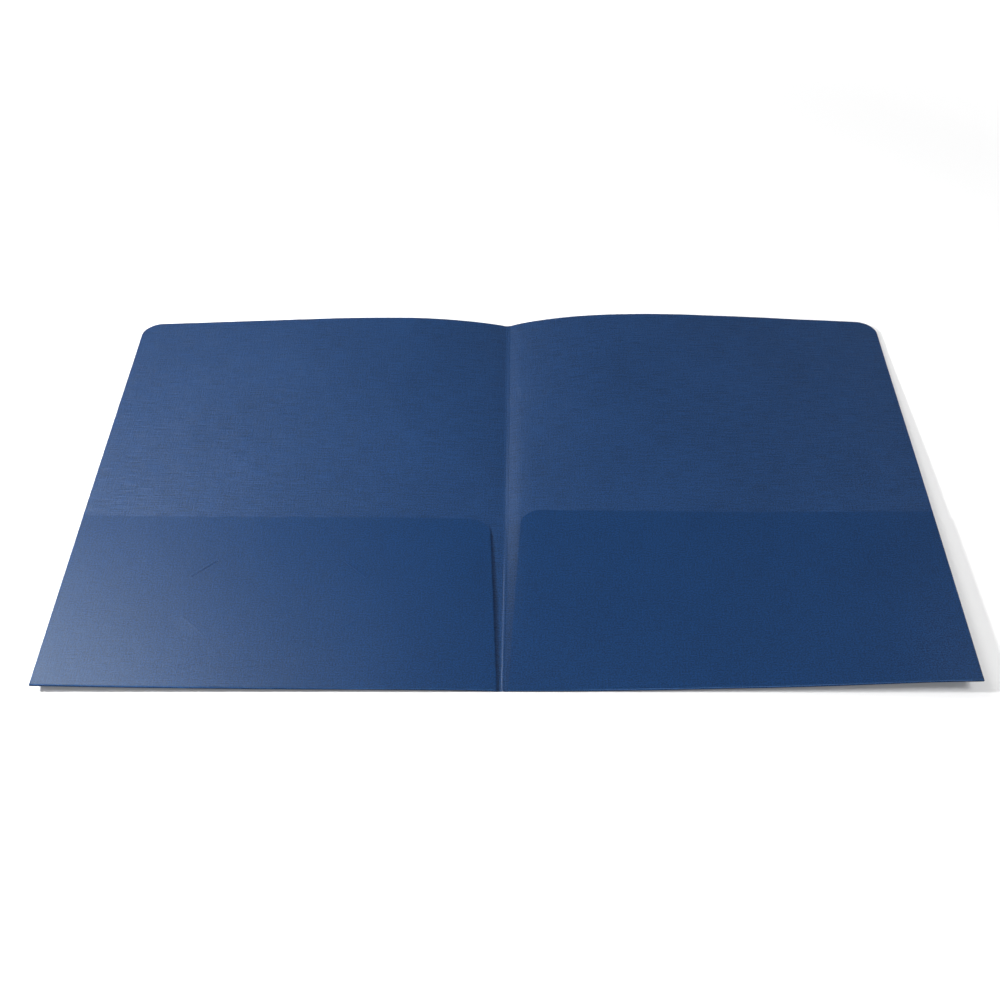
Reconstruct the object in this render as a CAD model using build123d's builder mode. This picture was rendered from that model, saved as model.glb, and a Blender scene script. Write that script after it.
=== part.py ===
# A two pocket folder lying open with its inside up. It is one die-cut sheet of card, scored
# down the spine, turned up along the bottom into two pockets and glued at the sides.
# Sizes are in millimetres. X crosses the spine, with the back cover at +X and the front cover
# at -X. Y runs from the pockets to the top edge. Z rises from the table under the covers.
import math
import os

from build123d import *

os.makedirs("parts", exist_ok=True)

# Card sheet
card_thickness = 0.36
cover_width = 228.6  # spine centre line to outer edge
cover_height = 304.8
cover_corner_radius = 11.5  # top outer corners
crease_clearance = 0.04  # open seam along a line that folds

# Pockets
pocket_height = 122.0  # bottom fold to mouth
pocket_inset = 0.4  # outer fold behind the cover's outer edge
pocket_gap_bottom = 3.4  # spine centre line to the inner edge, at the bottom fold
pocket_gap_mouth = 8.5  # spine centre line to the inner edge, at the mouth
pocket_corner_radius = 9.5
pocket_air = 0.1  # between the pocket and the tab turned under it
bend_clearance = 6.0  # flat card kept beside the bend of a free corner
corner_lift = {"back": 7.0, "front": 1.6}  # a free inner corner above its flat place

# Glue tabs
tab_width = 16.0
tab_taper = 8.0  # by which each end runs in across the tab's width
tab_relief = 1.5  # each end short of the pocket's side
glue_thickness = 0.1
glue_margin = 3.0  # bare tab round the glue

# Slits that hold a business card on the front pocket
card_length = 88.9
card_height = 50.8
card_tuck = 5.5  # middle of a slit inside the edges of the card
card_rise = 2.5  # card's middle above the pocket's middle
slit_length = 17.5
slit_width = 0.4
slit_angle = 45.0

# Spine
closing_gap = 0.56  # left between the pockets when the folder is shut
bead_margin = 0.4  # flat card each side of the raised bead
bead_height = 0.3

# Heights of the layers above the table
tab_floor = card_thickness + glue_thickness
pocket_floor = tab_floor + card_thickness + pocket_air
pocket_face = pocket_floor + card_thickness

# Turned edges, to the middle of the card
pocket_fold_radius = pocket_floor / 2
pocket_fold_height = pocket_face / 2
tab_fold_radius = (pocket_floor - tab_floor) / 2
tab_fold_height = (pocket_face + tab_floor) / 2

# Lines that the pieces share
cover_top = cover_height / 2
bottom_fold = pocket_fold_radius + card_thickness / 2 - cover_top
mouth = pocket_height - cover_top
pocket_side = cover_width - pocket_inset
tab_fold = pocket_side - tab_fold_radius - card_thickness / 2
spine_width = 2 * (pocket_face - card_thickness) + closing_gap
spine_crease = spine_width / 2
cover_edge = spine_crease + crease_clearance / 2
spine_edge = spine_crease - crease_clearance / 2

# Middles of the four slits, one across each corner of the card
card_x = (pocket_gap_mouth + tab_fold) / 2
card_y = (bottom_fold + mouth) / 2 + card_rise
slit_x = card_length / 2 - card_tuck
slit_y = card_height / 2 - card_tuck
slit_corners = [(right, up) for right in (-1, 1) for up in (-1, 1)]

# A pocket is held along its bottom and its outer side, so its free inner corner can only bend
# up about a line that runs beside the diagonal from the bottom fold to the outer end of the mouth.
vertical = Vector(0, 0, 1)
diagonal_foot = Vector(pocket_gap_bottom, bottom_fold)
diagonal = (Vector(tab_fold, mouth) - diagonal_foot).normalized()
across = vertical.cross(diagonal)
corner_reach = (Vector(pocket_gap_mouth, mouth) - diagonal_foot).dot(across)
slit_run = Vector(slit_length / 2, 0).rotate(Axis.Z, slit_angle)
inner_slit = Vector(card_x - slit_x, card_y + slit_y)
slit_reach = max((inner_slit + end - diagonal_foot).dot(across) for end in (slit_run, -slit_run))
bend_offset = {"back": bend_clearance, "front": slit_reach + bend_clearance}

sides = {"back": 1, "front": -1}

# Cover panels
for name, side in sides.items():
    with BuildPart() as cover:
        with BuildSketch():
            with BuildLine():
                Polyline(
                    (side * cover_edge, bottom_fold),
                    (side * cover_width, bottom_fold),
                    (side * cover_width, cover_top),
                    (side * cover_edge, cover_top),
                    close=True,
                )
            make_face()
            top_corners = vertices().group_by(Axis.Y)[-1]
            fillet(top_corners.sort_by(lambda corner: abs(corner.X))[-1], cover_corner_radius)
        extrude(amount=card_thickness)
    cover.part.label = f"{name}_cover_panel"
    export_step(cover.part, f"parts/{cover.part.label}.step")

# Spine strip between the two creases, pressed up into a bead along its middle
bead_edge = spine_crease - bead_margin
with BuildPart() as spine:
    with BuildSketch(Plane.XZ.offset(-cover_top)):
        with BuildLine():
            Polyline(
                (bead_edge, 0),
                (spine_edge, 0),
                (spine_edge, card_thickness),
                (bead_edge, card_thickness),
            )
            mirror(about=Plane.YZ)
            for face in (0, card_thickness):
                ThreePointArc((-bead_edge, face), (0, face + bead_height), (bead_edge, face))
        make_face()
    extrude(amount=cover_top - bottom_fold)
spine.part.label = "spine_strip"
export_step(spine.part, "parts/spine_strip.step")

# Rolled folds along the bottom, from the covers up into the pockets
for name, side in sides.items():
    with BuildPart() as pocket_fold:
        with BuildSketch(Plane.YZ.offset(min(side * pocket_gap_bottom, side * pocket_side))):
            with BuildLine():
                CenterArc((bottom_fold, pocket_fold_height), pocket_fold_radius, 90, 180)
            trace(line_width=card_thickness)
        extrude(amount=pocket_side - pocket_gap_bottom)
    pocket_fold.part.label = f"{name}_pocket_fold"
    export_step(pocket_fold.part, f"parts/{pocket_fold.part.label}.step")

# Pockets, each cut out flat and then parted along its bend into a panel and a free corner
for name, side in sides.items():
    with BuildPart() as pocket:
        with BuildSketch(Plane.XY.offset(pocket_floor)):
            with BuildLine():
                Polyline(
                    (side * pocket_gap_bottom, bottom_fold),
                    (side * tab_fold, bottom_fold),
                    (side * tab_fold, mouth),
                    (side * pocket_gap_mouth, mouth),
                    close=True,
                )
            make_face()
            mouth_corners = vertices().group_by(Axis.Y)[-1]
            fillet(mouth_corners.sort_by(lambda corner: abs(corner.X))[0], pocket_corner_radius)
            if name == "front":
                for right, up in slit_corners:
                    slit_turn = -right * up * slit_angle
                    with Locations((side * card_x + right * slit_x, card_y + up * slit_y)):
                        SlotOverall(slit_length, slit_width, rotation=slit_turn, mode=Mode.SUBTRACT)
        extrude(amount=card_thickness)

    bend_foot = diagonal_foot + across * bend_offset[name]
    bend_point = Vector(side * bend_foot.X, bend_foot.Y, pocket_face)
    towards_corner = Vector(side * across.X, across.Y)
    bend_line = Axis(bend_point, towards_corner.cross(vertical))
    bend_cut = Plane(origin=bend_point, x_dir=bend_line.direction, z_dir=towards_corner)
    bend_angle = math.degrees(math.asin(corner_lift[name] / (corner_reach - bend_offset[name])))
    print(f"{name} pocket bends {bend_angle:.4f} degrees about", bend_line.position, bend_line.direction)

    with BuildPart() as panel:
        add(pocket.part)
        split(bisect_by=bend_cut.offset(-crease_clearance / 2), keep=Keep.BOTTOM)
    panel.part.label = f"{name}_pocket_panel"
    export_step(panel.part, f"parts/{panel.part.label}.step")

    with BuildPart() as corner:
        add(pocket.part)
        split(bisect_by=bend_cut.offset(crease_clearance / 2), keep=Keep.TOP)
    lifted_corner = corner.part.rotate(bend_line, bend_angle)
    lifted_corner.label = f"{name}_pocket_free_corner"
    export_step(lifted_corner, f"parts/{lifted_corner.label}.step")

# Rolled folds along the outer sides, from the pockets down into the glue tabs
tab_bottom = bottom_fold + tab_relief
tab_top = mouth - tab_relief
for name, side in sides.items():
    with BuildPart() as tab_roll:
        with BuildSketch(Plane.XZ.offset(-tab_top)):
            with BuildLine():
                CenterArc((side * tab_fold, tab_fold_height), tab_fold_radius, -90 * side, 180)
            trace(line_width=card_thickness)
        extrude(amount=tab_top - tab_bottom)
    tab_roll.part.label = f"{name}_tab_fold"
    export_step(tab_roll.part, f"parts/{tab_roll.part.label}.step")

# Glue tabs turned in under the pockets
tab_edge = tab_fold - tab_width
for name, side in sides.items():
    with BuildPart() as tab:
        with BuildSketch(Plane.XY.offset(tab_floor)):
            with BuildLine():
                Polyline(
                    (side * tab_fold, tab_bottom),
                    (side * tab_edge, tab_bottom + tab_taper),
                    (side * tab_edge, tab_top - tab_taper),
                    (side * tab_fold, tab_top),
                    close=True,
                )
            make_face()
        extrude(amount=card_thickness)
    tab.part.label = f"{name}_glue_tab"
    export_step(tab.part, f"parts/{tab.part.label}.step")

# Films of glue that hold the tabs to the covers
for name, side in sides.items():
    with BuildPart() as glue:
        with BuildSketch(Plane.XY.offset(card_thickness)):
            with Locations((side * (tab_fold + tab_edge) / 2, (tab_bottom + tab_top) / 2)):
                Rectangle(tab_width - 2 * glue_margin, tab_top - tab_bottom - 2 * tab_taper)
        extrude(amount=glue_thickness)
    glue.part.label = f"{name}_glue_film"
    export_step(glue.part, f"parts/{glue.part.label}.step")
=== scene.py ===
import math

import bmesh
import bpy
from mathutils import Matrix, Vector


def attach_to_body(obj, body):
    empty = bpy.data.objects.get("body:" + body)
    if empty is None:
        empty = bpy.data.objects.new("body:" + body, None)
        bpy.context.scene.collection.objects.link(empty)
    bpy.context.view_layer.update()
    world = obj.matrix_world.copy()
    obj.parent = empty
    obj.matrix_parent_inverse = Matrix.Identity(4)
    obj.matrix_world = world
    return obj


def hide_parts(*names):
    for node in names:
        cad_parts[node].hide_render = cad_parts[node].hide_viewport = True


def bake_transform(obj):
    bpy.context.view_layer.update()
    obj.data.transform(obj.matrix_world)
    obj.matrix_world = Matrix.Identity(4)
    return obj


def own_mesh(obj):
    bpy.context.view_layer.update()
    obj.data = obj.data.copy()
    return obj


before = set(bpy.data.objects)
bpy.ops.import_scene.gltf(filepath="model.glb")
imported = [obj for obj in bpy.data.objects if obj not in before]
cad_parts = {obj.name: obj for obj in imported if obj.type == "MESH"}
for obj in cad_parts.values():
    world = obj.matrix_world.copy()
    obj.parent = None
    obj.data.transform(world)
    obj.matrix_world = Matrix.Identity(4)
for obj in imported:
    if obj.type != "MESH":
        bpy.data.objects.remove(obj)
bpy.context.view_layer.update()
scene = bpy.context.scene
mm = 0.001
sides = {"back": 1, "front": -1}  # the back cover lies to the right, the front cover to the left


# Materials

def colour(hexCode):  # sRGB hex to linear
    parts = [int(hexCode[i:i + 2], 16) / 255 for i in (1, 3, 5)]
    return [c / 12.92 if c <= 0.04045 else ((c + 0.055) / 1.055) ** 2.4 for c in parts] + [1]


def addNode(tree, kind, settings, sockets):  # a socket gets a value, or (node, output) to link it
    node = tree.nodes.new(kind)
    for name, value in settings.items():
        setattr(node, name, value)
    for name, value in sockets.items():
        if isinstance(value, tuple) and isinstance(value[0], bpy.types.Node):
            tree.links.new(value[0].outputs[value[1]], node.inputs[name])
        else:
            node.inputs[name].default_value = value
    return node


def newMaterial(name):
    material = bpy.data.materials.new(name)
    material.use_nodes = True
    material.node_tree.nodes.clear()
    return material, material.node_tree


# Linen card: dyed through, then embossed by rollers with a woven thread. The dye makes it an even navy
# with a faint grain of fibre, the emboss breaks the light into short threads both ways, and the
# calendered face has a cool satin sheen, smoothest on the raised threads.
# Real threads stand 0.45 mm apart, under a pixel here, so they are drawn coarser, and so is the fibre.
linen = {
    "fibre": (0.75, 0.75), "cloud": (60, 60), "noiseDetail": 1.5, "noiseRoughness": 0.6,
    "dyeSpan": (0.41, 0.59), "glossSpan": (0.38, 0.62),  # the range of the noise that each one follows
    "ior": 1.5, "sheen": "#e7f5ff"}


def linenCard(name, look):
    material, tree = newMaterial(name)
    place = addNode(tree, "ShaderNodeTexCoord", {}, {})
    patterns = []
    for length, height in (look["acrossThread"], look["upThread"], linen["fibre"], linen["cloud"]):
        stretch = addNode(tree, "ShaderNodeMapping", {}, {
            "Vector": (place, "Object"), "Scale": (1 / (length * mm), 1 / (height * mm), 0)})
        patterns.append(addNode(tree, "ShaderNodeTexNoise", {}, {
            "Vector": (stretch, "Vector"), "Scale": 1.0,
            "Detail": linen["noiseDetail"], "Roughness": linen["noiseRoughness"]}))
    across, up, fibre, cloud = patterns
    weave = addNode(tree, "ShaderNodeMix", {}, {
        "Factor": look["upShare"], "A": (across, "Fac"), "B": (up, "Fac")})
    grain = addNode(tree, "ShaderNodeMix", {}, {
        "Factor": look["fibreShare"], "A": (weave, "Result"), "B": (fibre, "Fac")})
    tone = addNode(tree, "ShaderNodeMix", {}, {
        "Factor": look["cloudShare"], "A": (grain, "Result"), "B": (cloud, "Fac")})
    dye = addNode(tree, "ShaderNodeValToRGB", {}, {"Fac": (tone, "Result")})
    dye.color_ramp.elements[0].position = linen["dyeSpan"][0]
    dye.color_ramp.elements[0].color = colour(look["deep"])
    dye.color_ramp.elements[1].position = linen["dyeSpan"][1]
    dye.color_ramp.elements[1].color = colour(look["pale"])
    gloss = addNode(tree, "ShaderNodeMapRange", {}, {
        "Value": (weave, "Result"),
        "From Min": linen["glossSpan"][0], "From Max": linen["glossSpan"][1],
        "To Min": look["roughness"] + look["glossSpread"],
        "To Max": look["roughness"] - look["glossSpread"]})
    emboss = addNode(tree, "ShaderNodeBump", {}, {
        "Height": (weave, "Result"), "Strength": 1.0, "Distance": look["depth"] * mm})
    shader = addNode(tree, "ShaderNodeBsdfPrincipled", {}, {
        "Base Color": (dye, "Color"), "Roughness": (gloss, "Result"), "Normal": (emboss, "Normal"),
        "IOR": linen["ior"], "Specular IOR Level": look["specular"],
        "Specular Tint": colour(linen["sheen"])})
    addNode(tree, "ShaderNodeOutputMaterial", {}, {"Surface": (shader, "BSDF")})
    return material


insideCard = linenCard("linen card, inside face", {
    "pale": "#1f3e6a", "deep": "#0b203c", "acrossThread": (12, 0.7), "upThread": (0.7, 12),
    "upShare": 0.3, "fibreShare": 0.62, "cloudShare": 0.05, "depth": 0.22,
    "roughness": 0.33, "glossSpread": 0.02, "specular": 0.55})
outsideCard = linenCard("linen card, outside face", {
    "pale": "#143763", "deep": "#071f3e", "acrossThread": (9, 0.7), "upThread": (0.7, 9),
    "upShare": 0.45, "fibreShare": 0.7, "cloudShare": 0.05, "depth": 0.1,
    "roughness": 0.32, "glossSpread": 0.015, "specular": 0.52})
# Round a fold the calendered skin is broken, so the card is matt there. Its colour is painted darker
# than the face, as shade where the roll turns down to the table, and its crest is a painted highlight
foldShadedFace = linenCard("linen card, round a fold, painted darker as shade", {
    "pale": "#10305a", "deep": "#061b38", "acrossThread": (9, 0.7), "upThread": (0.7, 9),
    "upShare": 0.5, "fibreShare": 0.5, "cloudShare": 0.2, "depth": 0.08,
    "roughness": 0.6, "glossSpread": 0.05, "specular": 0.15})
# the crest: paler dye as a painted highlight where the roll faces up and to the front
foldCrestHighlight = linenCard("linen card, crest of a fold painted paler as a highlight", {
    "pale": "#2f4f78", "deep": "#1d3a60", "acrossThread": (9, 0.7), "upThread": (0.7, 9),
    "upShare": 0.5, "fibreShare": 0.5, "cloudShare": 0.3, "depth": 0.08,
    "roughness": 0.45, "glossSpread": 0.05, "specular": 0.37})


# The die's cut through the dyed card: bare fibres, matt and a shade paler than the faces.
def cutCard(name, look):
    material, tree = newMaterial(name)
    place = addNode(tree, "ShaderNodeTexCoord", {}, {})
    fibre = addNode(tree, "ShaderNodeTexNoise", {}, {
        "Vector": (place, "Object"), "Scale": 1 / (look["fibre"] * mm), "Detail": 4.0})
    dye = addNode(tree, "ShaderNodeValToRGB", {}, {"Fac": (fibre, "Fac")})
    dye.color_ramp.elements[0].color = colour(look["deep"])
    dye.color_ramp.elements[1].color = colour(look["pale"])
    rough = addNode(tree, "ShaderNodeBump", {}, {
        "Height": (fibre, "Fac"), "Strength": 0.6, "Distance": look["depth"] * mm})
    shader = addNode(tree, "ShaderNodeBsdfPrincipled", {}, {
        "Base Color": (dye, "Color"), "Normal": (rough, "Normal"), "Roughness": look["roughness"],
        "IOR": look["ior"], "Specular IOR Level": look["specular"]})
    addNode(tree, "ShaderNodeOutputMaterial", {}, {"Surface": (shader, "BSDF")})
    return material


cutEdge = cutCard("die-cut card edge", {
    "pale": "#46597a", "deep": "#2a4063", "fibre": 0.4, "depth": 0.05,
    "roughness": 0.8, "ior": 1.5, "specular": 0.3})


# Dried paper glue: a cream film with a soft gloss, thicker in some places than others.
def paperGlue(name, look):
    material, tree = newMaterial(name)
    place = addNode(tree, "ShaderNodeTexCoord", {}, {})
    flow = addNode(tree, "ShaderNodeTexNoise", {}, {
        "Vector": (place, "Object"), "Scale": 1 / (look["ripple"] * mm),
        "Detail": 3.0, "Distortion": 0.6})
    tint = addNode(tree, "ShaderNodeValToRGB", {}, {"Fac": (flow, "Fac")})
    tint.color_ramp.elements[0].color = colour(look["deep"])
    tint.color_ramp.elements[1].color = colour(look["pale"])
    ripple = addNode(tree, "ShaderNodeBump", {}, {
        "Height": (flow, "Fac"), "Strength": 0.5, "Distance": look["depth"] * mm})
    shader = addNode(tree, "ShaderNodeBsdfPrincipled", {}, {
        "Base Color": (tint, "Color"), "Normal": (ripple, "Normal"), "Roughness": look["roughness"],
        "IOR": look["ior"]})
    addNode(tree, "ShaderNodeOutputMaterial", {}, {"Surface": (shader, "BSDF")})
    return material


driedGlue = paperGlue("dried paper glue", {
    "pale": "#e6e0cc", "deep": "#cfc8b0", "ripple": 2.5, "depth": 0.05, "roughness": 0.3, "ior": 1.47})
print("materials:", len(bpy.data.materials))


# Sizes that several pieces share, and tools to make them with. Sizes are in mm.

folder = {
    "width": 228.6, "height": 304.8,  # of one cover
    "crease": 1.4,  # from the middle of the spine
    "foot": -151.76,  # where the flat card ends and the fold at the foot starts
    "pocketFrom": {"back": 2.1, "front": 3.4}}  # the pocket's inner edge at the foot
card = {
    "thickness": 0.36, "cutEvery": 6.0, "smoothBelow": 32, "shutKeeps": 0.15,
    "flatFrom": 0.5,  # a face whose normal points less than this up or down is a cut edge
    "slack": 0.01}  # how near counts as touching


def startPlane(name, x, y, z):  # a plane at its size and place, open in edit mode
    bpy.ops.object.select_all(action="DESELECT")
    bpy.ops.mesh.primitive_plane_add(size=1, location=(sum(x) / 2 * mm, sum(y) / 2 * mm, z * mm))
    piece = bpy.context.object
    piece.name = name
    piece.scale = (abs(x[1] - x[0]) * mm, abs(y[1] - y[0]) * mm, 1)
    bpy.ops.object.transform_apply(location=True, rotation=False, scale=True)
    bpy.ops.object.mode_set(mode="EDIT")
    return piece


def pick(piece, kind, test):  # selects by the middle, in mm, and a face also by its normal
    bpy.ops.mesh.select_mode(type=kind)
    bpy.ops.mesh.select_all(action="DESELECT")
    mesh = bmesh.from_edit_mesh(piece.data)
    found = 0
    for item in {"VERT": mesh.verts, "EDGE": mesh.edges, "FACE": mesh.faces}[kind]:
        if kind == "VERT":
            middle = item.co / mm
        elif kind == "EDGE":
            middle = (item.verts[0].co + item.verts[1].co) / 2 / mm
        else:
            middle = item.calc_center_median() / mm
        chosen = test(middle, item.normal) if kind == "FACE" else test(middle)
        item.select_set(chosen)
        found += chosen
    mesh.select_flush_mode()
    bmesh.update_edit_mesh(piece.data)
    return found


def cut(piece, point, normal, test=None):  # bisects all faces, or those that pass the test
    if test is None:
        bpy.ops.mesh.select_all(action="SELECT")
    else:
        pick(piece, "FACE", test)
    bpy.ops.mesh.bisect(plane_co=[c * mm for c in point], plane_no=normal)


def cutGrid(piece, x, y):  # cuts that let the flat card bend
    for place in x:
        cut(piece, (place, 0, 0), (1, 0, 0))
    for place in y:
        cut(piece, (0, place, 0), (0, 1, 0))


def between(start, end, step):  # places at even steps inside a length
    count = max(1, round(abs(end - start) / step))
    return [start + (end - start) * i / count for i in range(1, count)]


def roundCorner(piece, look, test):
    pick(piece, "VERT", test)
    bpy.ops.mesh.bevel(
        offset=look["cornerRadius"] * mm, segments=look["cornerSteps"], affect="VERTICES", profile=0.5)


def addModifier(piece, kind, settings):  # added and applied at once
    bpy.ops.object.modifier_add(type=kind)
    modifier = piece.modifiers[-1]
    for name, value in settings.items():
        setattr(modifier, name, value)
    bpy.ops.object.modifier_apply(modifier=modifier.name)


def thicken(piece, thickness, offset):  # offset 1 grows it along its normals, 0 both ways
    bpy.ops.object.mode_set(mode="OBJECT")
    addModifier(piece, "SOLIDIFY", {"thickness": thickness * mm, "offset": offset})


def paint(piece, faces):  # (material, test) pairs, each over the one before
    bpy.ops.object.mode_set(mode="EDIT")
    for index, (material, test) in enumerate(faces):
        piece.data.materials.append(material)
        if index and pick(piece, "FACE", test):
            piece.active_material_index = index
            bpy.ops.object.material_slot_assign()
    bpy.ops.object.mode_set(mode="OBJECT")


def sheetFaces(up, down):
    return [
        (cutEdge, None),
        (up, lambda p, normal: normal.z > card["flatFrom"]),
        (down, lambda p, normal: normal.z < -card["flatFrom"])]


def bow(piece, *lattices):
    for lattice in lattices:
        addModifier(piece, "LATTICE", {"object": lattice})


def attach(piece, body, slot, *nodes):  # smooth, carried by its body, and in place of the parts it hides
    bpy.ops.object.shade_smooth_by_angle(angle=math.radians(card["smoothBelow"]))
    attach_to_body(piece, body)
    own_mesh(piece)
    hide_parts(*nodes)


# Lattices: how the card stands off the table, and how a pocket's free corner stands off its cover

bend = {"low": -20, "high": 40}  # the lattices take in the card's whole height


def raisedLattice(name, x, y, points, heights):  # heights gives the rise of each point, in mm
    spans = (x, y, (bend["low"], bend["high"]))
    bpy.ops.object.select_all(action="DESELECT")
    bpy.ops.object.add(type="LATTICE", location=[sum(ends) / 2 * mm for ends in spans])
    lattice = bpy.context.object
    lattice.name = name
    lattice.scale = [(ends[1] - ends[0]) * mm for ends in spans]
    data = lattice.data
    data.points_u, data.points_v, data.points_w = points[0], points[1], 2
    data.interpolation_type_u = "KEY_CATMULL_ROM"
    data.interpolation_type_v = "KEY_CATMULL_ROM"
    data.interpolation_type_w = "KEY_LINEAR"
    for index, point in enumerate(data.points):
        u, v = index % points[0], index // points[0] % points[1]
        point.co_deform.z += heights(u, v) / (bend["high"] - bend["low"])
    return lattice


# Heights of a cover above the table, at even stations from the spine out: along the foot, the middle
# and the top. The shoulder is how far the card springs up beside the crease, at the same three.
lift = {
    "columns": 36, "spring": 1.6,  # lattice columns across a cover, and how steeply it leaves the crease
    "shoulderWidth": {"CoverBow": 4.0, "PocketBow": 0.05},  # a pocket bridges its cover's shoulder
    "back": {
        "foot": (0.0, 0.0, 0.4, 1.0, 1.8, 2.6, 3.7, 5.1, 6.5, 7.3),
        "middle": (0.3, 2.6, 4.1, 4.8, 5.0, 4.8, 4.7, 4.6, 4.6, 4.2),
        "top": (0.15, 5.2, 7.8, 8.6, 8.3, 7.1, 5.8, 4.1, 2.7, 1.0),
        "shoulder": (0.0, 0.8, 0.3)},
    "front": {
        "foot": (0.0, 0.7, 1.1, 1.3, 1.5, 1.8, 2.2, 2.7, 3.3, 4.1),
        "middle": (0.0, 1.5, 2.2, 2.5, 2.6, 2.8, 2.9, 3.0, 3.2, 3.6),
        "top": (0.0, 4.0, 6.2, 6.7, 6.5, 5.7, 4.8, 3.9, 3.0, 2.2),
        "shoulder": (0.0, 0.2, 0.2)}}


def cardLattice(name, side, kind):
    rows = [lift[name][row] for row in ("foot", "middle", "top")]
    step = folder["width"] / (len(rows[0]) - 1)
    column = (folder["width"] - folder["crease"]) / lift["columns"]

    def height(v, out):  # a smooth curve through the stations, and the shoulder
        row = rows[v]
        station = min(int(out / step), len(row) - 2)
        t = out / step - station
        before = row[station - 1] if station else -lift["spring"] * row[1]
        start, end = row[station], row[station + 1]
        after = row[station + 2] if station + 2 < len(row) else 2 * end - start
        curve = start + 0.5 * t * (end - before + t * (
            2 * before - 5 * start + 4 * end - after + t * (3 * (start - end) + after - before)))
        return curve + lift[name]["shoulder"][v] * (1 - math.exp(-out / lift["shoulderWidth"][kind]))

    def heights(u, v):
        out = column * (u - 1 if side > 0 else lift["columns"] - u)
        # One column past the crease mirrors the next, so that the card leaves the crease at a full slope
        return height(v, out) if out >= 0 else 2 * height(v, 0) - height(v, -out)

    x = (folder["crease"] - column, folder["width"])
    return raisedLattice(
        name + kind, x if side > 0 else (-x[1], -x[0]), (-folder["height"] / 2, folder["height"] / 2),
        (lift["columns"] + 2, len(rows)), heights)


coverBow = {name: cardLattice(name, side, "CoverBow") for name, side in sides.items()}
pocketBow = {name: cardLattice(name, side, "PocketBow") for name, side in sides.items()}
print("lattices: the covers' bow")


# Cover panels: rounded at the top outer corner, with a tongue beside the spine that fills the foot
# as far as the pocket's fold

cover = {
    "cornerRadius": 11.5, "cornerSteps": 12, "fineCuts": (2.1, 3.4, 4.5, 6.5, 9.0), "tongue": 0.45}


def topOuterCorner(p):
    return abs(p.x) > folder["width"] / 2 and p.y > 0


for name, side in sides.items():
    x = (side * folder["crease"], side * folder["width"])
    y = (folder["foot"], folder["height"] / 2)
    piece = startPlane(name + "Cover", x, y, 0)
    roundCorner(piece, cover, topOuterCorner)
    across = list(cover["fineCuts"]) + between(cover["fineCuts"][-1], folder["width"], card["cutEvery"])
    cutGrid(piece, [side * place for place in across], between(*y, card["cutEvery"]))
    end = folder["pocketFrom"][name]
    pick(piece, "EDGE", lambda p: p.y < folder["foot"] + card["slack"] and abs(p.x) < end)
    bpy.ops.mesh.extrude_edges_move(TRANSFORM_OT_translate={"value": (0, -cover["tongue"] * mm, 0)})
    thicken(piece, card["thickness"], 1)
    paint(piece, sheetFaces(insideCard, outsideCard))
    bow(piece, coverBow[name])
    attach(piece, name + "_cover", "cover_card", name + "_cover_panel")
print("covers:", len(sides))


# Spine: a strip between the two creases. The score presses it up into a bead between the pockets,
# which dies out below the mouths, and above them it leans with the back cover.

spine = {
    "half": folder["crease"], "lines": (0.0, 0.2, 0.4, 0.6, 0.8, 1.0, 1.2), "leanFrom": -0.2,
    "beadHalf": 0.8, "beadHeight": 0.14, "beadAtFoot": -0.4, "beadCentred": -90, "beadFades": (-80, -40)}


def spineRise(x, y):
    aside = max(0, (y - spine["beadCentred"]) / (folder["foot"] - spine["beadCentred"]))
    fromBead = x - spine["beadAtFoot"] * aside
    half, height = spine["beadHalf"], spine["beadHeight"]
    radius = (half ** 2 + height ** 2) / (2 * height)
    bead = 0
    if abs(fromBead) < half:
        bead = math.sqrt(radius ** 2 - fromBead ** 2) - radius + height
    start, end = spine["beadFades"]
    fade = min(1, max(0, (y - start) / (end - start)))
    foot, middle, top = (lift["back"][row][0] for row in ("foot", "middle", "top"))
    up = 2 * y / folder["height"]  # -1 at the foot, 0 in the middle, 1 at the top
    crease = middle + (top - middle) * up if up > 0 else middle + (foot - middle) * -up
    lean = max(0, (x - spine["leanFrom"]) / (spine["half"] - spine["leanFrom"]))
    return bead * (1 - fade) + crease * lean


x = (-spine["half"], spine["half"])
y = (folder["foot"], folder["height"] / 2)
piece = startPlane("spineStrip", x, (y[0] - cover["tongue"], y[1]), 0)
lines = sorted({side * line for side in sides.values() for line in spine["lines"]})
cutGrid(piece, lines, between(*y, card["cutEvery"]))
mesh = bmesh.from_edit_mesh(piece.data)
for vertex in mesh.verts:
    vertex.co.z += spineRise(vertex.co.x / mm, vertex.co.y / mm) * mm
bmesh.update_edit_mesh(piece.data)
thicken(piece, card["thickness"], 1)
paint(piece, sheetFaces(insideCard, outsideCard))
bpy.ops.object.shade_smooth_by_angle(angle=math.radians(card["smoothBelow"]))
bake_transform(piece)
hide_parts("spine_strip")
print("spine: bead", spine["beadHeight"], "mm high")


# Pockets: each turned up along the foot, glued down its outer side, and free at its inner corner

pocket = {
    "innerMouth": 8.5, "outer": 227.79, "mouth": -30.4, "floor": 0.92,
    "cornerRadius": 10.8, "cornerSteps": 10,
    # how far the free corner stands off its cover, and how fast that falls off sideways and downwards
    "gape": {"back": 6.0, "front": -0.3}, "gapeOut": 3.2, "gapeUp": 1.2, "gapePoints": (9, 5),
    # how far the inner edge stands off between foot and mouth, and how near the foot it does
    "belly": {"back": (0.8, 4), "front": (0.7, 1)}}


def gapeLattice(name, side):
    across, up = pocket["gapePoints"]

    def heights(u, v):
        inward = 1 - u / (across - 1) if side > 0 else u / (across - 1)
        rise = v / (up - 1)
        corner = pocket["gape"][name] * rise ** pocket["gapeUp"]
        height, low = pocket["belly"][name]
        peak = 1 / (low + 1)  # where the edge stands off most
        belly = height * rise / peak * ((1 - rise) / (1 - peak)) ** low
        return (corner + belly) * inward ** pocket["gapeOut"]

    x = sorted((side * folder["pocketFrom"][name], side * pocket["outer"]))
    return raisedLattice(name + "Gape", x, (folder["foot"], pocket["mouth"]), (across, up), heights)


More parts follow.
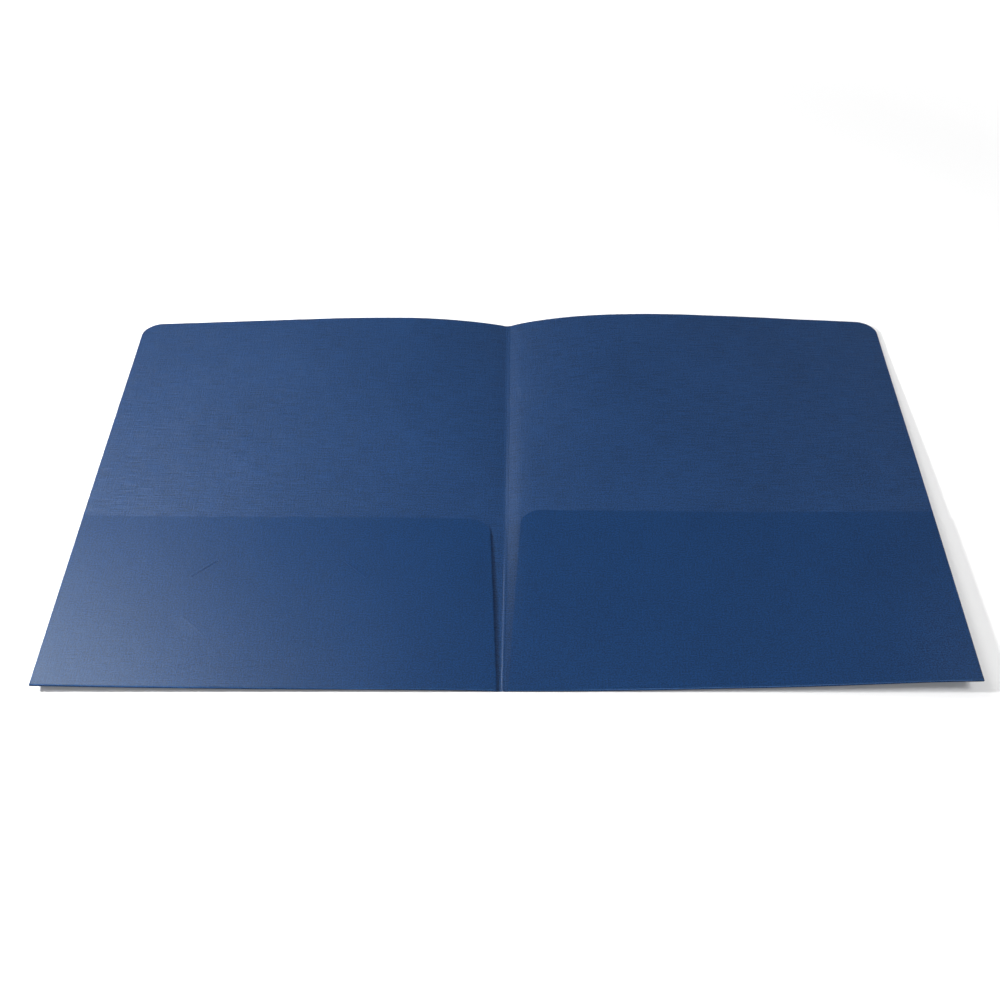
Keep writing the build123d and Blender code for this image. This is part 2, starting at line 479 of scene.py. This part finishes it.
def topInnerCorner(p):
    return abs(p.x) < folder["width"] / 2 and p.y > (folder["foot"] + pocket["mouth"]) / 2


# The slits hold a business card by its corners
slits = {
    "side": "front", "middle": (117.2, -90.5), "across": 38.95, "up": 19.9, "length": 17.5,
    # fine cuts beside and along each slit, and how far they run
    "beside": (0.6, 1.5, 3.0, 5.0, 7.0), "along": (0.0, 1.5, 3.0, 4.5, 6.0, 7.5, 8.75), "reach": 14,
    "corners": {  # by the way right and up: the gap, and how far the outer lip stands up and reaches
        (-1, 1): (0.3, 0.06, 3), (1, 1): (0.14, 0.2, 3),
        (-1, -1): (0.28, 0.08, 7), (1, -1): (0.14, 0.1, 3)}}


def cutSlit(piece, right, up, side):
    x, y = slits["middle"]
    middle = Vector((side * x + right * slits["across"], y + up * slits["up"], 0))
    along = Vector((1, -right * up, 0)).normalized()
    outward = Vector((right, up, 0)).normalized()
    gap, lipRise, lipReach = slits["corners"][right, up]

    def within(p, run, out):  # of the middle, along the slit and across it
        return abs((p - middle).dot(along)) < run and abs((p - middle).dot(outward)) < out

    def near(p, normal):
        return within(p, slits["reach"], slits["reach"])

    for distance in (gap / 2, *slits["beside"]):
        for way in (-1, 1):
            cut(piece, middle + outward * way * distance, outward, near)
    for distance in slits["along"]:
        for way in (1, -1) if distance else (1,):
            cut(piece, middle + along * way * distance, along, near)
    pick(piece, "FACE", lambda p, normal: within(p, slits["length"] / 2, gap / 2))
    bpy.ops.mesh.delete(type="FACE")
    # The outer lip stands up a little, most in the middle of the slit
    mesh = bmesh.from_edit_mesh(piece.data)
    for vertex in mesh.verts:
        offset = vertex.co / mm - middle
        out, run = offset.dot(outward), abs(offset.dot(along)) / (slits["length"] / 2)
        if 0 < out < lipReach and run < 1:
            vertex.co.z += lipRise * mm * (1 - run ** 2) * (1 - out / lipReach) ** 2
    bmesh.update_edit_mesh(piece.data)


pocketGape = {name: gapeLattice(name, side) for name, side in sides.items()}

for name, side in sides.items():
    x = (side * folder["pocketFrom"][name], side * pocket["outer"])
    y = (folder["foot"], pocket["mouth"])
    piece = startPlane(name + "Pocket", x, y, pocket["floor"])
    pick(piece, "VERT", topInnerCorner)
    taper = pocket["innerMouth"] - folder["pocketFrom"][name]
    bpy.ops.transform.translate(value=(side * taper * mm, 0, 0))
    roundCorner(piece, pocket, topInnerCorner)
    cutGrid(piece, between(*x, card["cutEvery"]), between(*y, card["cutEvery"]))
    if name == slits["side"]:
        for right, up in slits["corners"]:
            cutSlit(piece, right, up, side)
    thicken(piece, card["thickness"], 1)
    paint(piece, sheetFaces(outsideCard, insideCard))
    bow(piece, pocketGape[name], pocketBow[name])
    attach(piece, name + "_cover", "pocket_card", name + "_pocket_panel", name + "_pocket_free_corner")
print("pockets:", len(sides), "with four slits in the", slits["side"], "one")


# Rolled folds: the foot of each cover turned up into its pocket, and the outer side of each pocket
# turned down into its tab

footFold = {"radius": 0.46, "height": 0.64, "steps": 14}
tabFold = {"radius": 0.23, "height": 0.87, "bottom": -150.26, "top": -31.9, "steps": 12}
roll = {
    "strip": 1,  # width of the plane whose edge is rolled
    "crest": (0.6, 0.97)}  # how far up the face with the painted highlight looks, where 1 is straight up


# Draws a narrow plane and turns its edge above the centre half way round it
def rolled(name, fold, x, y, cuts, centre, axis, turn):
    def fromCentre(p):  # square to the axis
        arm = p - Vector(centre)
        return arm - arm.project(Vector(axis))

    def outer(p, normal):
        return fromCentre(p).dot(normal) > fold["radius"] / 2

    # faces tilted up and to the front, which get the painted highlight
    def crest(p, normal):
        return outer(p, normal) and roll["crest"][0] < normal.z < roll["crest"][1]

    def inner(p, normal):
        return -fromCentre(p).dot(normal) > (fold["radius"] - card["thickness"] / 2) / 2

    piece = startPlane(name, x, y, fold["height"] + fold["radius"])
    cutGrid(piece, *cuts)
    pick(piece, "VERT", lambda p: fromCentre(p).xy.length > card["slack"])
    bpy.ops.mesh.delete(type="VERT")
    bpy.ops.mesh.select_all(action="SELECT")
    bpy.ops.mesh.spin(steps=fold["steps"], angle=turn, center=[c * mm for c in centre], axis=axis)
    bpy.ops.mesh.select_all(action="SELECT")
    bpy.ops.mesh.remove_doubles(threshold=card["slack"] * mm)
    bpy.ops.mesh.normals_make_consistent(inside=False)
    thicken(piece, card["thickness"], 0)
    # the roll's outer face gets painted shade, and the part of it that faces up a painted highlight
    paint(piece, [(cutEdge, None), (foldShadedFace, outer), (foldCrestHighlight, crest), (insideCard, inner)])
    return piece


for name, side in sides.items():
    end = pocket["outer"] + tabFold["radius"] + card["thickness"] / 2
    x = sorted((side * folder["pocketFrom"][name], side * end))
    piece = rolled(
        name + "PocketFold", footFold, x, (folder["foot"], folder["foot"] + roll["strip"]),
        (between(*x, card["cutEvery"]), ()),
        (0, folder["foot"], footFold["height"]), (1, 0, 0), -math.pi)
    bow(piece, coverBow[name])
    attach(piece, name + "_cover", "pocket_card", name + "_pocket_fold")

    x = sorted((side * pocket["outer"], side * (pocket["outer"] - roll["strip"])))
    y = (tabFold["bottom"], tabFold["top"])
    piece = rolled(
        name + "TabFold", tabFold, x, y, ((), between(*y, card["cutEvery"])),
        (side * pocket["outer"], 0, tabFold["height"]), (0, 1, 0), -side * math.pi)
    bow(piece, coverBow[name])
    attach(piece, name + "_cover", "pocket_card", name + "_tab_fold")
print("folds:", 2 * len(sides))


# Glue tabs turned in under the pockets, and the glue that holds them to the covers

tab = {"width": 16.0, "taper": 8.0, "floor": 0.46, "cutEvery": 4.0}
glue = {"margin": 3.0, "floor": 0.36, "thickness": 0.1}

for name, side in sides.items():
    x = (side * pocket["outer"], side * (pocket["outer"] - tab["width"]))
    y = (tabFold["bottom"], tabFold["top"])
    piece = startPlane(name + "GlueTab", x, y, tab["floor"])
    pick(piece, "VERT", lambda p: abs(p.x) < pocket["outer"] - tab["width"] / 2)
    height = y[1] - y[0]
    bpy.ops.transform.resize(
        value=(1, (height - 2 * tab["taper"]) / height, 1), center_override=(0, sum(y) / 2 * mm, 0))
    cutGrid(piece, between(*x, tab["cutEvery"]), between(*y, card["cutEvery"]))
    thicken(piece, card["thickness"], 1)
    paint(piece, sheetFaces(insideCard, outsideCard))
    bow(piece, coverBow[name])
    attach(piece, name + "_cover", "pocket_card", name + "_glue_tab")

    outer = pocket["outer"] - glue["margin"]
    inner = pocket["outer"] - tab["width"] + glue["margin"]
    x = (side * outer, side * inner)
    y = (tabFold["bottom"] + tab["taper"], tabFold["top"] - tab["taper"])
    piece = startPlane(name + "GlueFilm", x, y, glue["floor"])
    cutGrid(piece, between(*x, tab["cutEvery"]), between(*y, card["cutEvery"]))
    thicken(piece, glue["thickness"], 1)
    piece.data.materials.append(driedGlue)
    bow(piece, coverBow[name])
    attach(piece, name + "_cover", "glue", name + "_glue_film")
print("tabs and glue:", len(sides), "of each")

bpy.ops.object.select_all(action="DESELECT")
for lattice in [*coverBow.values(), *pocketBow.values(), *pocketGape.values()]:
    lattice.select_set(True)
bpy.ops.object.delete()


# Floor, light and camera

# White paper, matt and even, lit from below so that it fades to white far off
floor = {
    "size": 12.0, "colour": "#e0e0e0", "roughness": 0.9, "specular": 0.1,
    "glow": (0.2, 1.3), "glowRises": (0.45, 1.1)}
bpy.ops.mesh.primitive_plane_add(size=floor["size"], location=(0, 0, 0))
ground = bpy.context.object
ground.name = "studioFloor"
material, tree = newMaterial("white studio paper")
place = addNode(tree, "ShaderNodeTexCoord", {}, {})
away = addNode(tree, "ShaderNodeVectorMath", {"operation": "LENGTH"}, {"Vector": (place, "Object")})
glow = addNode(tree, "ShaderNodeMapRange", {"interpolation_type": "SMOOTHSTEP"}, {
    "Value": (away, "Value"), "From Min": floor["glowRises"][0], "From Max": floor["glowRises"][1],
    "To Min": floor["glow"][0], "To Max": floor["glow"][1]})
shader = addNode(tree, "ShaderNodeBsdfPrincipled", {}, {
    "Base Color": colour(floor["colour"]), "Roughness": floor["roughness"],
    "Specular IOR Level": floor["specular"],
    "Emission Color": colour(floor["colour"]), "Emission Strength": (glow, "Result")})
addNode(tree, "ShaderNodeOutputMaterial", {}, {"Surface": (shader, "BSDF")})
ground.data.materials.append(material)

lamps = {  # the low left one has no shine, which would glare off the card from the far side
    "sheenBox": {"at": (-0.74, 0.6, 1.15), "size": 0.6, "watts": 10.5, "shine": True},
    "leftBox": {"at": (-0.765, -0.15, 0.52), "size": 0.09, "watts": 12.6, "shine": False},
    "rightBox": {"at": (1.1, -0.5, 1.2), "size": 0.5, "watts": 14.5, "shine": True},
    "backBox": {"at": (0.75, 0.61, 1.15), "size": 0.5, "watts": 0.8, "shine": True},
    "overheadBox": {"at": (0.2, -0.6, 4.0), "size": 4.0, "watts": 10, "shine": True}}
for name, lamp in lamps.items():
    bpy.ops.object.light_add(type="AREA", location=lamp["at"])
    light = bpy.context.object
    light.name = name
    light.rotation_euler = (-Vector(lamp["at"])).to_track_quat("-Z", "Y").to_euler()
    light.data.size = lamp["size"]
    light.data.energy = lamp["watts"]
    light.visible_glossy = lamp["shine"]

room = {  # a low pale wall far off, dim above
    "colour": "#ffffff", "strength": (1.0, 0.1), "wallEnds": (0.05, 0.14)}
world = bpy.data.worlds.new("studio room")
world.use_nodes = True
tree = world.node_tree
tree.nodes.clear()
place = addNode(tree, "ShaderNodeTexCoord", {}, {})
up = addNode(tree, "ShaderNodeSeparateXYZ", {}, {"Vector": (place, "Generated")})
strength = addNode(tree, "ShaderNodeMapRange", {}, {
    "Value": (up, "Z"), "From Min": room["wallEnds"][0], "From Max": room["wallEnds"][1],
    "To Min": room["strength"][0], "To Max": room["strength"][1]})
background = addNode(tree, "ShaderNodeBackground", {}, {
    "Color": colour(room["colour"]), "Strength": (strength, "Result")})
addNode(tree, "ShaderNodeOutputWorld", {}, {"Surface": (background, "Background")})
scene.world = world
scene.view_settings.view_transform = "Standard"

view = {
    "at": (11.07, -647.57, 558.69), "turn": (48.659, 0.731, 0.653),
    "lens": 55.52, "sensor": 36, "clipStart": 10}
bpy.ops.object.camera_add(
    location=[c * mm for c in view["at"]], rotation=[math.radians(c) for c in view["turn"]])
camera = bpy.context.object
camera.data.lens = view["lens"]
camera.data.sensor_width = view["sensor"]
camera.data.clip_start = view["clipStart"] * mm
scene.camera = camera
print("studio: floor,", len(lamps), "soft lights and the camera")
